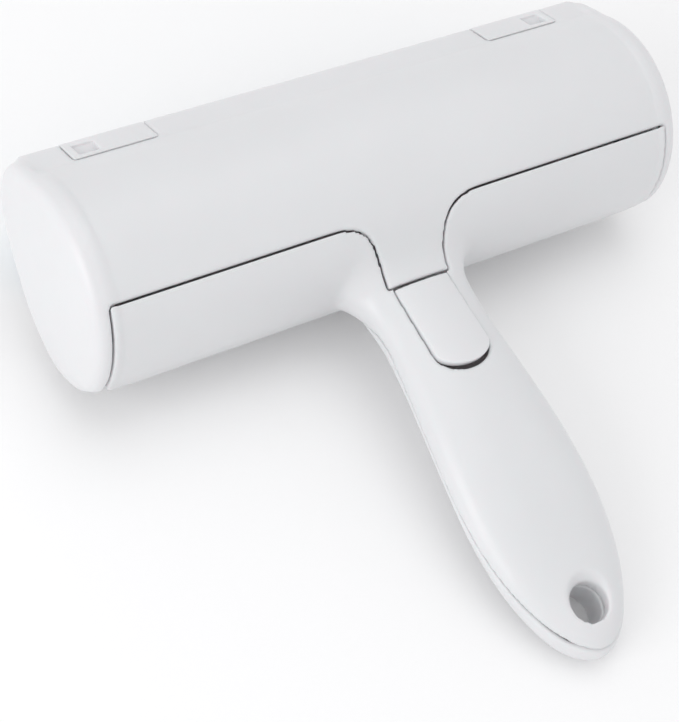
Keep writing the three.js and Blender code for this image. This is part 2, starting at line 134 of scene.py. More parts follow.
@dataclass(frozen=True)
class HandleSizes:
    """Sizes of the handle in millimetres; stations are y, half width, back, front, squareness."""

    stations: tuple[tuple[float, float, float, float, float], ...] = (
        (-14.0, 27.6, 21.6, -7.4, 3.2),
        (-20.5, 27.6, 20.8, -7.4, 3.2),
        (-23.0, 26.6, 18.9, -7.4, 3.1),
        (-25.0, 24.8, 17.0, -7.4, 3.0),
        (-27.0, 22.6, 15.1, -7.3, 2.9),
        (-29.0, 20.5, 13.7, -7.0, 2.8),
        (-31.0, 18.9, 12.8, -6.4, 2.7),
        (-34.0, 17.2, 12.2, -5.2, 2.5),
        (-38.0, 16.3, 12.3, -3.8, 2.4),
        (-44.0, 15.9, 12.9, -2.7, 2.4),
        (-50.0, 15.9, 13.5, -2.1, 2.4),
        (-60.0, 16.7, 14.5, -1.7, 2.4),
        (-70.0, 17.7, 15.1, -1.6, 2.4),
        (-80.0, 18.7, 15.3, -1.7, 2.4),
        (-90.0, 19.4, 15.0, -2.1, 2.4),
        (-100.0, 19.7, 14.2, -2.7, 2.4),
        (-110.0, 19.0, 13.2, -3.5, 2.4),
        (-120.0, 17.1, 12.1, -4.3, 2.4),
        (-128.0, 14.4, 11.0, -4.7, 2.3),
        (-133.5, 11.7, 9.8, -4.6, 2.3),
        (-137.5, 8.9, 8.4, -3.8, 2.2),
        (-140.3, 5.9, 6.9, -2.5, 2.1),
        (-141.9, 3.3, 5.4, -1.0, 2.0),
        (-142.6, 1.3, 3.9, 0.5, 2.0),
    )
    parting: tuple[tuple[float, float], ...] = (
        (-160.0, 5.5), (-48.0, 5.5), (-42.0, 4.3), (-37.5, 1.6), (-34.5, -2.0), (-33.0, -6.0),
        (-32.6, -8.3),
    )
    grip_from: float = -45.0
    grip_to: float = -105.0
    grip_crest: float = -55.0
    grip_pitch: float = 20.0
    grip_depth: float = 1.2
    hole_y: float = -129.2
    hole_radius: float = 5.5
    hole_back: float = 9.5
    hole_front: float = -3.5
    sleeve_radius: float = 8.2
    rim_flare: float = 4.0
    hollow_from: float = -36.0
    hollow_to: float = -136.0


@dataclass(frozen=True)
class ButtonSizes:
    """Sizes of the release button in millimetres."""

    top_y: float = -34.5
    tail_y: float = -60.8
    half: float = 8.4
    tail_round: float = 5.4
    side_gap: float = 0.25
    tail_gap: float = 1.3
    slope: tuple[tuple[float, float], ...] = ((-33.0, 12.2), (-66.0, 16.6))
    slope_foot: float = -4.0
    slope_power: float = 2.4
    slope_half: float = 15.6
    slope_inner_half: float = 14.0
    slope_drop: float = 0.02
    thickness: float = 2.2
    pin_radius: float = 1.1
    pin_half: float = 9.6
    pin_y: float = -46.5
    pin_z: float = 8.8


@dataclass(frozen=True)
class SpringSizes:
    """Sizes of the coil spring under the button's tail, in millimetres."""

    turns: float = 4.0
    radius: float = 2.1
    wire: float = 0.34
    low: float = 7.4
    high: float = 12.3
    y: float = -56.0
    turn_steps: int = 40
    wire_sides: int = 12
    kept: float = 0.75


HEAD = HeadSizes()
HINGE = HingeSizes()
HANDLE = HandleSizes()
BUTTON = ButtonSizes()
SPRING = SpringSizes()


# ------------------------------------------------------------------ modelling moves
class Bench:
    """Modelling moves that every piece is made with, in millimetres in the head frame.

    The head frame has the drum axis at its origin, X along the drum, the handle along -Y and the
    lid towards +Z. A finished piece is settled into the row frame, in metres.
    """

    def __init__(self, record: dict) -> None:
        """Find where the head frame lies.

        Args:
            record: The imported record, whose drum joint and far mount place the head.
        """
        joints = record["behaviour"]["joints"]
        drum = next(j for j in joints if j["name"] == "drum_rock")
        far = record["mounts"][0]["axis"]
        tilt = math.atan2(far[2], far[1])
        self.to_row = Matrix.Translation(Vector(drum["pos_m"])) @ Matrix.Rotation(tilt, 4, "X")

    def point(self, x: float, y: float, z: float) -> Vector:
        """Row-frame place in metres of a head-frame point in millimetres."""
        return self.to_row @ (Vector((x, y, z)) * MM)

    def direction(self, x: float, y: float, z: float) -> Vector:
        """Row-frame direction of a head-frame direction."""
        return self.to_row.to_3x3() @ Vector((x, y, z))

    def clear(self) -> None:
        """Leave edit mode and deselect everything."""
        if bpy.context.object is not None and bpy.context.object.mode != "OBJECT":
            bpy.ops.object.mode_set(mode="OBJECT")
        bpy.ops.object.select_all(action="DESELECT")

    def hold(self, piece: bpy.types.Object) -> None:
        """Select one piece alone and make it active.

        Args:
            piece: The piece.
        """
        self.clear()
        piece.select_set(True)
        bpy.context.view_layer.objects.active = piece

    def _fixed(self) -> bpy.types.Object:
        """Put a new primitive's place into its mesh and return it."""
        bpy.ops.object.transform_apply(location=True, rotation=True, scale=True)
        return bpy.context.object

    def rod(
        self, radius: float, x0: float, x1: float, y: float = 0.0, z: float = 0.0, sides: int = 128
    ) -> bpy.types.Object:
        """Make a cylinder that runs along X.

        Args:
            radius: Its radius.
            x0: Its left end.
            x1: Its right end.
            y: Its axis in Y.
            z: Its axis in Z.
            sides: How many flats it has.

        Returns:
            The new solid.
        """
        self.clear()
        bpy.ops.mesh.primitive_cylinder_add(
            vertices=sides,
            radius=radius,
            depth=x1 - x0,
            location=((x0 + x1) / 2, y, z),
            rotation=(0, math.pi / 2, 0),
        )
        return self._fixed()

    def cone(
        self, low: float, high: float, z0: float, z1: float, x: float = 0.0, y: float = 0.0
    ) -> bpy.types.Object:
        """Make an upright cone, open-angled or straight.

        Args:
            low: Radius at the bottom.
            high: Radius at the top.
            z0: Bottom.
            z1: Top.
            x: Its axis in X.
            y: Its axis in Y.

        Returns:
            The new solid.
        """
        self.clear()
        bpy.ops.mesh.primitive_cone_add(
            vertices=96, radius1=low, radius2=high, depth=z1 - z0, location=(x, y, (z0 + z1) / 2)
        )
        return self._fixed()

    def block(self, low: tuple, high: tuple) -> bpy.types.Object:
        """Make a box between two corners.

        Args:
            low: Lowest corner.
            high: Highest corner.

        Returns:
            The new solid.
        """
        self.clear()
        middle = [(a + b) / 2 for a, b in zip(low, high)]
        size = [b - a for a, b in zip(low, high)]
        bpy.ops.mesh.primitive_cube_add(size=1.0, location=middle, scale=size)
        return self._fixed()

    def loft(self, rings: Sequence[Sequence[Vector]]) -> bpy.types.Object:
        """Draw a closed skin through rings of equal count, capped at both ends.

        Args:
            rings: The rings, in order, each a list of points.

        Returns:
            The new solid.
        """
        self.clear()
        count = len(rings[0])
        bpy.ops.mesh.primitive_circle_add(vertices=count, radius=1.0, fill_type="NGON")
        piece = bpy.context.object
        bpy.ops.object.mode_set(mode="EDIT")
        bpy.ops.mesh.select_all(action="SELECT")
        for _ in rings[1:]:
            bpy.ops.mesh.extrude_region_move(TRANSFORM_OT_translate={"value": (0, 0, 1)})
        bpy.ops.object.mode_set(mode="OBJECT")
        flat = np.array([tuple(p) for ring in rings for p in ring], np.float32)
        piece.data.vertices.foreach_set("co", flat.ravel())
        self.outward(piece)
        return piece

    def prism(self, outline: Outline, low: float, high: float, along: Along) -> bpy.types.Object:
        """Run an outline between two planes.

        Args:
            outline: Points of the outline, YZ for a run along X and XY for one along Z.
            low: First plane.
            high: Second plane.
            along: The direction of the run.

        Returns:
            The new solid.
        """
        if along is Along.X:
            return self.loft([[Vector((s, u, v)) for u, v in outline] for s in (low, high)])
        return self.loft([[Vector((u, v, s)) for u, v in outline] for s in (low, high)])

    def outward(self, piece: bpy.types.Object) -> None:
        """Turn all faces of a closed piece outwards.

        Args:
            piece: The piece.
        """
        self.hold(piece)
        bpy.ops.object.mode_set(mode="EDIT")
        bpy.ops.mesh.select_all(action="SELECT")
        bpy.ops.mesh.normals_make_consistent(inside=False)
        bpy.ops.object.mode_set(mode="OBJECT")

    def copy(self, piece: bpy.types.Object) -> bpy.types.Object:
        """Copy a piece with a mesh of its own.

        Args:
            piece: The piece.

        Returns:
            The copy.
        """
        twin = piece.copy()
        twin.data = piece.data.copy()
        bpy.context.scene.collection.objects.link(twin)
        return twin

    def apply(self, piece: bpy.types.Object, kind: str, **settings: object) -> None:
        """Add one modifier to a piece and apply it.

        Args:
            piece: The piece.
            kind: The modifier's type.
            **settings: Its settings.
        """
        self.hold(piece)
        modifier = piece.modifiers.new(kind.lower(), kind)
        for name, value in settings.items():
            setattr(modifier, name, value)
        bpy.ops.object.modifier_apply(modifier=modifier.name)

    def work(self, piece: bpy.types.Object, how: Blend, *tools: bpy.types.Object) -> None:
        """Join, cut or keep by one tool after another, and drop the tools.

        Args:
            piece: The piece that is worked on.
            how: What the tools do.
            *tools: The tools, which are used up.
        """
        for tool in tools:
            self.apply(piece, "BOOLEAN", operation=how.value, object=tool, solver="MANIFOLD")
            bpy.data.objects.remove(tool)

    def even_out(self, piece: bpy.types.Object, grain: float, rounds: int) -> None:
        """Give a piece an even skin and soft moulded edges.

        Args:
            piece: The piece.
            grain: Size of the skin's faces in millimetres.
            rounds: How many times the skin is smoothed.
        """
        self.apply(piece, "REMESH", mode="VOXEL", voxel_size=grain, use_smooth_shade=True)
        self.apply(piece, "SMOOTH", factor=0.5, iterations=rounds)

    def soften(self, piece: bpy.types.Object, where: Place, rounds: int) -> None:
        """Smooth only the part of a piece where a weight says so.

        Args:
            piece: The piece.
            where: Weight from 0 to 1 of a point.
            rounds: How many times that part is smoothed.
        """
        least = 0.01
        group = piece.vertex_groups.new(name="soft")
        for vertex in piece.data.vertices:
            weight = where(vertex.co)
            if weight > least:
                group.add([vertex.index], weight, "REPLACE")
        self.apply(piece, "SMOOTH", factor=0.5, iterations=rounds, vertex_group="soft")
        piece.vertex_groups.clear()

    def settle(self, piece: bpy.types.Object, name: str) -> bpy.types.Object:
        """Name a finished piece and move its mesh into the row frame, in metres.

        Args:
            piece: The finished piece.
            name: Its name.

        Returns:
            The same piece.
        """
        piece.name = name
        piece.data.name = name
        piece.data.transform(self.to_row @ Matrix.Scale(MM, 4))
        self.hold(piece)
        bpy.ops.object.shade_smooth()
        return piece

    def line(self, piece: bpy.types.Object, lining: bpy.types.Material, radius: float) -> None:
        """Give the inner wall of a dressed shell a second material, the pinkish-grey painted shade of
        the chamber.

        Args:
            piece: The shell, settled and dressed.
            lining: The painted-shade material of its inner wall.
            radius: Faces nearer to the drum axis than this are the inner wall.
        """
        piece.data.materials.append(lining)
        back = self.to_row.inverted()
        for face in piece.data.polygons:
            centre = (back @ face.center) / MM
            inside = abs(centre.x) < HEAD.half - HEAD.collar_width
            if inside and math.hypot(centre.y, centre.z) < radius:
                face.material_index = 1

    def refine(
        self, node: str, grain: float, rounds: int, *added: bpy.types.Object
    ) -> bpy.types.Object:
        """Copy a frame node, weld it, and give it an even skin with soft moulded edges.

        Args:
            node: The frame node's name.
            grain: Size of the skin's faces in millimetres.
            rounds: How many times the skin is smoothed.
            *added: Solids in the head frame that are joined to it first.

        Returns:
            The refined copy, already in the row frame.
        """
        piece = self.copy(frame["nodes"][node])
        for key in list(piece.keys()):
            del piece[key]
        piece.parent = None
        self.hold(piece)
        bpy.ops.object.mode_set(mode="EDIT")
        bpy.ops.mesh.select_all(action="SELECT")
        bpy.ops.mesh.remove_doubles(threshold=1e-6)
        bpy.ops.object.mode_set(mode="OBJECT")
        piece.data.transform(Matrix.Scale(1 / MM, 4) @ self.to_row.inverted())
        self.work(piece, Blend.JOIN, *added)
        self.even_out(piece, grain, rounds)
        return self.settle(piece, node + "_fine")


def arc(radius: float, start: float, end: float, steps: int) -> list[tuple[float, float]]:
    """Points of an arc about the drum axis, in YZ, with angles in degrees from +Y towards +Z."""
    turns = [math.radians(start + (end - start) * i / steps) for i in range(steps + 1)]
    return [(radius * math.cos(a), radius * math.sin(a)) for a in turns]


def ease(value: float, low: float, high: float) -> float:
    """Smooth step from 0 at low to 1 at high."""
    t = min(1.0, max(0.0, (value - low) / (high - low)))
    return t * t * (3 - 2 * t)


# ------------------------------------------------------------------ finishes
class Shader:
    """A node material under construction."""

    def __init__(self, name: str) -> None:
        """Start a material with one principled shader.

        Args:
            name: The material's name.
        """
        self.material = bpy.data.materials.new(name)
        self.material.use_nodes = True
        self.tree = self.material.node_tree
        self.surface = self.tree.nodes["Principled BSDF"]

    def add(self, kind: str, **values: object) -> bpy.types.Node:
        """Add a node and set its attributes.

        Args:
            kind: The node's type.
            **values: Its attributes.

        Returns:
            The new node.
        """
        node = self.tree.nodes.new(kind)
        for name, value in values.items():
            setattr(node, name, value)
        return node

    def link(self, source: bpy.types.NodeSocket, target: bpy.types.NodeSocket) -> None:
        """Join two sockets."""
        self.tree.links.new(source, target)

    def noise(self, source: bpy.types.NodeSocket, scale: float, detail: float) -> bpy.types.NodeSocket:
        """Add a noise pattern and return its height.

        Args:
            source: Where its coordinates come from.
            scale: Its scale, per metre.
            detail: Its detail.

        Returns:
            The height's socket.
        """
        node = self.add("ShaderNodeTexNoise")
        node.inputs["Scale"].default_value = scale
        node.inputs["Detail"].default_value = detail
        self.link(source, node.inputs["Vector"])
        return node.outputs["Fac"]

    def spread(
        self, source: bpy.types.NodeSocket, low: float, high: float
    ) -> bpy.types.NodeSocket:
        """Map a height from about 0.3 to 0.7 onto low to high.

        Args:
            source: The height.
            low: Value at 0.3.
            high: Value at 0.7.

        Returns:
            The mapped value's socket.
        """
        node = self.add("ShaderNodeMapRange")
        node.inputs["From Min"].default_value = 0.3
        node.inputs["From Max"].default_value = 0.7
        node.inputs["To Min"].default_value = low
        node.inputs["To Max"].default_value = high
        self.link(source, node.inputs["Value"])
        return node.outputs["Result"]

    def tint(
        self, source: bpy.types.NodeSocket, dark: tuple, light: tuple
    ) -> bpy.types.NodeSocket:
        """Colour that runs from dark to light with a height.

        Args:
            source: The height.
            dark: Colour at 0.3.
            light: Colour at 0.7.

        Returns:
            The colour's socket.
        """
        node = self.add("ShaderNodeValToRGB")
        node.color_ramp.elements[0].position = 0.3
        node.color_ramp.elements[0].color = (*dark, 1.0)
        node.color_ramp.elements[1].position = 0.7
        node.color_ramp.elements[1].color = (*light, 1.0)
        self.link(source, node.inputs["Fac"])
        return node.outputs["Color"]

    def raise_by(
        self, source: bpy.types.NodeSocket, depth: float, before: bpy.types.NodeSocket | None = None
    ) -> bpy.types.NodeSocket:
        """Bump the surface by a height.

        Args:
            source: The height.
            depth: How deep it goes, in metres.
            before: A normal that is already bumped.

        Returns:
            The bumped normal's socket.
        """
        node = self.add("ShaderNodeBump")
        node.inputs["Strength"].default_value = 1.0
        node.inputs["Distance"].default_value = depth
        self.link(source, node.inputs["Height"])
        if before is not None:
            self.link(before, node.inputs["Normal"])
        return node.outputs["Normal"]


@dataclass(frozen=True)
class MouldedPlastic:
    """Satin moulded plastic: fine spark texture, faint flow clouds and handling marks."""

    name: str
    colour: tuple[float, float, float]
    roughness: float = 0.36
    clouds: float = 0.012
    texture: float = 0.000012
    orange_peel: float = 0.00004

    def material(self) -> bpy.types.Material:
        """Build the material.

        Returns:
            The material.
        """
        shader = Shader(self.name)
        place = shader.add("ShaderNodeTexCoord").outputs["Object"]
        cloud = shader.noise(place, 28.0, 3.0)
        dark = tuple(c * (1 - self.clouds) for c in self.colour)
        light = tuple(min(1.0, c * (1 + self.clouds)) for c in self.colour)
        shader.link(shader.tint(cloud, dark, light), shader.surface.inputs["Base Color"])
        marks = shader.noise(place, 160.0, 4.0)
        gloss = shader.spread(marks, self.roughness - 0.04, self.roughness + 0.06)
        shader.link(gloss, shader.surface.inputs["Roughness"])
        waves = shader.raise_by(shader.noise(place, 90.0, 1.0), self.orange_peel)
        spark = shader.raise_by(shader.noise(place, 2600.0, 2.0), self.texture, waves)
        shader.link(spark, shader.surface.inputs["Normal"])
        shader.surface.inputs["IOR"].default_value = 1.53
        shader.surface.inputs["Subsurface Weight"].default_value = 0.3
        shader.surface.inputs["Subsurface Radius"].default_value = (0.004, 0.0028, 0.003)
        shader.surface.inputs["Subsurface Scale"].default_value = 1.0
        return shader.material


@dataclass(frozen=True)
class DrawnSteel:
    """Bright drawn wire with fine lines along it and faint oxide."""

    name: str
    colour: tuple[float, float, float] = (0.62, 0.63, 0.65)
    roughness: float = 0.24

    def material(self) -> bpy.types.Material:
        """Build the material.

        Returns:
            The material.
        """
        shader = Shader(self.name)
        place = shader.add("ShaderNodeTexCoord").outputs["Object"]
        stretch = shader.add("ShaderNodeMapping")
        stretch.inputs["Scale"].default_value = (40.0, 3000.0, 3000.0)
        shader.link(place, stretch.inputs["Vector"])
        lines = shader.noise(stretch.outputs["Vector"], 1.0, 3.0)
        oxide = shader.noise(place, 700.0, 3.0)
        dark = tuple(c * 0.86 for c in self.colour)
        shader.link(shader.tint(oxide, dark, self.colour), shader.surface.inputs["Base Color"])
        gloss = shader.spread(lines, self.roughness, self.roughness + 0.16)
        shader.link(gloss, shader.surface.inputs["Roughness"])
        shader.link(shader.raise_by(lines, 0.000004), shader.surface.inputs["Normal"])
        shader.surface.inputs["Metallic"].default_value = 1.0
        return shader.material


@dataclass(frozen=True)
class PilePlush:
    """Short directional pile in a diagonal weave, lighter on the raised tufts and darker in the grooves
    between them, where the darkness is painted shade.
    """

    name: str
    # deep is the colour in the grooves between tufts, a painted shade; tip is the colour of the raised
    # tufts.
    deep: tuple[float, float, float]
    tip: tuple[float, float, float]

    def material(self) -> bpy.types.Material:
        """Build the material; it reads the tuft height stored on the mesh and fine fibres.

        Returns:
            The material.
        """
        shader = Shader(self.name)
        tuft = shader.add("ShaderNodeAttribute", attribute_name="tuft").outputs["Fac"]
        place = shader.add("ShaderNodeTexCoord").outputs["Object"]
        fibre_map = shader.add("ShaderNodeMapping")
        fibre_map.inputs["Scale"].default_value = (1500.0, 5200.0, 5200.0)
        shader.link(place, fibre_map.inputs["Vector"])
        fibre = shader.noise(fibre_map.outputs["Vector"], 1.0, 3.0)
        patch = shader.noise(place, 110.0, 3.0)
        mix = shader.add("ShaderNodeMath", operation="MULTIPLY_ADD")
        mix.inputs[1].default_value = 0.55
        shader.link(tuft, mix.inputs[0])
        half = shader.add("ShaderNodeMath", operation="MULTIPLY_ADD")
        half.inputs[1].default_value = 0.45
        half.inputs[2].default_value = -0.06
        shader.link(fibre, half.inputs[0])
        shader.link(half.outputs[0], mix.inputs[2])
        shade = shader.add("ShaderNodeMath", operation="MULTIPLY_ADD")
        shade.inputs[1].default_value = 0.3
        shader.link(patch, shade.inputs[0])
        drop = shader.add("ShaderNodeMath", operation="SUBTRACT")
        drop.inputs[1].default_value = 0.15
        shader.link(mix.outputs[0], drop.inputs[0])
        shader.link(drop.outputs[0], shade.inputs[2])
        # Low tufts take the deep colour as painted shade in the grooves and raised tufts the lighter tip
        # colour; fibre and patch noise vary the tone at random.
        colour = shader.tint(shade.outputs[0], self.deep, self.tip)
        shader.link(colour, shader.surface.inputs["Base Color"])
        shader.link(shader.raise_by(fibre, 0.00008), shader.surface.inputs["Normal"])
        shader.link(shader.spread(fibre, 0.8, 0.96), shader.surface.inputs["Roughness"])
        shader.surface.inputs["Sheen Weight"].default_value = 0.5
        shader.surface.inputs["Sheen Roughness"].default_value = 0.4
        shader.surface.inputs["Sheen Tint"].default_value = (0.75, 0.93, 1.0, 1.0)
        return shader.material


@dataclass(frozen=True)
class StudioPaper:
    """Pale matt paper for the floor, with the faintest fibre."""

    name: str = "studio_paper"
    colour: tuple[float, float, float] = (0.955, 0.955, 0.955)

    def material(self) -> bpy.types.Material:
        """Build the material.

        Returns:
            The material.
        """
        shader = Shader(self.name)
        place = shader.add("ShaderNodeTexCoord").outputs["Object"]
        fibre = shader.noise(place, 900.0, 2.0)
        dark = tuple(c * 0.995 for c in self.colour)
        shader.link(shader.tint(fibre, dark, self.colour), shader.surface.inputs["Base Color"])
        shader.surface.inputs["Roughness"].default_value = 0.9
        shader.surface.inputs["Specular IOR Level"].default_value = 0.1
        return shader.material


class Finishes:
    """Every material of the roller, made once."""

    def __init__(self) -> None:
        """Make the materials."""
        self.shell = MouldedPlastic("shell_satin_white", (0.735, 0.735, 0.748)).material()
        self.inner = MouldedPlastic("inner_off_white", (0.80, 0.795, 0.785), 0.42).material()
        # Pinkish-grey painted shade: this tint stands in for the shade inside the chamber, the drum
        # slots and the button gaps, and it colours the inner walls and the button works.
        self.lining = MouldedPlastic("chamber_painted_shade_grey", (0.67, 0.61, 0.63), 0.45).material()
        self.bearing = MouldedPlastic("bearing_natural", (0.76, 0.755, 0.72), 0.3).material()
        self.steel = DrawnSteel("drawn_steel").material()
        # Both strips are the same cloth: the near strip's darker colours are painted shade and the far
        # strip's lighter colours are painted light.
        self.near_pile_shaded = PilePlush("pile_near_shaded", (0.035, 0.27, 0.43), (0.28, 0.72, 0.88)).material()
        self.far_pile_lit = PilePlush("pile_far_lit", (0.06, 0.36, 0.55), (0.38, 0.80, 0.94)).material()
        self.paper = StudioPaper().material()


def dress(
    piece: bpy.types.Object, finish: bpy.types.Material, slot: str, body: Body, *nodes: str
) -> None:
    """Give a finished piece its material, its body and the frame nodes it stands for.

    Args:
        piece: The finished piece.
        finish: Its material.
        slot: Its material slot in the record; not used.
        body: The body it rides on.
        *nodes: The frame nodes it stands for.
    """
    piece.data.materials.clear()
    piece.data.materials.append(finish)
    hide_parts(*nodes)
    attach(piece, body.value)
    LOG.info("%s: %d faces", piece.name, len(piece.data.polygons))


# ------------------------------------------------------------------ outer form
class HandleForm:
    """The solid form of the handle, outer or set in by a wall."""

    def __init__(self, bench: Bench, sizes: HandleSizes) -> None:
        """Keep the bench and the sizes.

        Args:
            bench: The modelling moves.
            sizes: The handle's sizes.
        """
        self.bench = bench
        self.sizes = sizes
        self.table = np.array(sizes.stations)

    def section(self, y: float) -> np.ndarray:
        """Half width, back, front and squareness at a place along the handle.

        Args:
            y: The place, in millimetres.

        Returns:
            The four values, on an easy curve through the stations.
        """
        rows = self.table
        last = len(rows) - 1
        i = int(np.clip(np.sum(rows[:, 0] > y) - 1, 0, last - 1))
        a, b, c, d = (rows[k] for k in (max(i - 1, 0), i, i + 1, min(i + 2, last)))
        span = c[0] - b[0]
        t = (y - b[0]) / span
        slope_in = (c - b) / span if i == 0 else (c - a) / (c[0] - a[0])
        slope_out = (c - b) / span if i == last - 1 else (d - b) / (d[0] - b[0])
        h = t * t * (3 - 2 * t)
        bend = (t - 2 * t**2 + t**3) * slope_in + (t**3 - t**2) * slope_out
        return (b * (1 - h) + c * h + bend * span)[1:]

    def groove(self, y: float) -> float:
        """Height of the finger ridges at a place along the handle.

        Args:
            y: The place, in millimetres.

        Returns:
            The height, in millimetres.
        """
        s = self.sizes
        if y > s.grip_from or y < s.grip_to:
            return 0.0
        run_out = 6.0
        fade = min(ease(s.grip_from - y, 0, run_out), ease(y - s.grip_to, 0, run_out))
        return s.grip_depth * fade * math.cos(2 * math.pi * (y - s.grip_crest) / s.grip_pitch)

    def ring(self, y: float, inset: float, count: int = 96) -> list[Vector]:
        """Rounded-square ring across the handle.

        Args:
            y: Place along the handle.
            inset: How far the ring is set in.
            count: How many points it has.

        Returns:
            The ring's points.
        """
        half, back, front, power = self.section(y)
        middle = (back + front) / 2
        rise = (back - front) / 2 - inset
        wave = self.groove(y)
        points = []
        for turn in np.linspace(0, 2 * math.pi, count, endpoint=False):
            c, s = math.cos(turn), math.sin(turn)
            x = (half - inset) * math.copysign(abs(c) ** (2 / power), c)
            z = middle + rise * math.copysign(abs(s) ** (2 / power), s)
            dip = wave * abs(s) ** 3 if s < 0 else 0.0
            points.append(Vector((x, y, z - dip)))
        return points

    def solid(self, start: float, end: float, inset: float = 0.0) -> bpy.types.Object:
        """Loft the handle between two places.

        Args:
            start: First place along the handle.
            end: Last place along the handle.
            inset: How far the form is set in.

        Returns:
            The new solid.
        """
        step, tip, tip_rings = 1.3, 4.0, 7
        stops = [*np.arange(start, end + tip, -step), *np.linspace(end + tip, end, tip_rings)]
        return self.bench.loft([self.ring(float(y), inset) for y in stops])


class OuterForm:
    """The common outer and inner forms that the lid and the two housing shells are cut from."""

    grain = 0.8
    sides = 360
    reach = HEAD.half + HEAD.overrun
    saddle_rounds = 26

    def __init__(self, bench: Bench) -> None:
        """Build the outer form.

        Args:
            bench: The modelling moves.
        """
        self.bench = bench
        self.handle = HandleForm(bench, HANDLE)
        self.outer = bench.rod(HEAD.radius, -self.reach, self.reach, sides=self.sides)
        ends = (HANDLE.stations[0][0], HANDLE.stations[-1][0])
        bench.work(self.outer, Blend.JOIN, self.handle.solid(*ends))
        bench.even_out(self.outer, self.grain, 3)
        bench.soften(self.outer, self.saddle, self.saddle_rounds)

    @staticmethod
    def saddle(point: Vector) -> float:
        """Weight of the flowing neck between the barrel and the handle.

        Args:
            point: A point in millimetres in the head frame.

        Returns:
            The weight, from 0 to 1.
        """
        across = 1 - ease(abs(point.x), 26, 34)
        along = ease(point.y, -40, -34) * (1 - ease(point.y, -17, -12))
        return across * along * ease(point.z, -12, -2)

    def blank(self) -> bpy.types.Object:
        """A fresh copy of the outer form."""
        return self.bench.copy(self.outer)

    def chamber(self) -> bpy.types.Object:
        """The round space inside the head."""
        return self.bench.rod(HEAD.radius - HEAD.wall, -BEYOND_ENDS, BEYOND_ENDS, sides=240)

    def collars(self, reach: float) -> bpy.types.Object:
        """The low raised collars round both ends of the barrel.

        Args:
            reach: How far they run along the drum.

        Returns:
            One piece with both collars.
        """
        b = self.bench
        ring = HEAD.radius + HEAD.collar
        inner = HEAD.half - HEAD.collar_width
        pair = b.rod(ring, -reach, -inner, sides=self.sides)
        b.work(pair, Blend.JOIN, b.rod(ring, inner, reach, sides=self.sides))
        return pair

    def drop(self) -> None:
        """Remove the form once every shell is cut."""
        bpy.data.objects.remove(self.outer)


def lid_plan(extra: float) -> list[tuple[float, float]]:
    """Plan of the lid: straight seam, S curve and tongue.

    Args:
        extra: How far the outline is widened.

    Returns:
        The outline in XY.
    """
    half = HEAD.tongue_half + extra
    edge = HEAD.seam_y - extra
    bend_out, bend_in, bend_drop, tongue_straight, steps = 13.5, 10.4, 3.0, 2.6, 28
    p = [
        Vector((HEAD.seam_half, edge)),
        Vector((bend_out + extra, edge)),
        Vector((bend_in + extra, HEAD.seam_y - bend_drop)),
        Vector((half, HEAD.tongue_end + tongue_straight)),
    ]
    right = [(BEYOND_ENDS, edge)]
    for t in np.linspace(0, 1, steps):
        t = float(t)
        u = 1 - t
        q = p[0] * u**3 + p[1] * (3 * u * u * t) + p[2] * (3 * u * t * t) + p[3] * t**3
        right.append((q.x, q.y))
    right.append((half, HEAD.tongue_end - extra))
    left = [(-x, y) for x, y in right]
    return [(BEYOND_ENDS, BEYOND), (-BEYOND_ENDS, BEYOND), *left, *reversed(right)]


def button_plan(extra: float, tail_gap: float = 0.0) -> list[tuple[float, float]]:
    """Plan of the button: square shoulders and a round tail.

    Args:
        extra: How far the sides are widened.
        tail_gap: How far the tail is lengthened.

    Returns:
        The outline in XY.
    """
    half = BUTTON.half + extra
    shoulder = BUTTON.tail_y + BUTTON.tail_round
    top = BUTTON.top_y + extra
    tail = []
    for turn in np.linspace(math.pi, 2 * math.pi, 33):
        reach = BUTTON.tail_round + tail_gap
        tail.append((half * math.cos(turn), shoulder + reach * math.sin(turn)))
    return [(half, top), (-half, top), *tail]


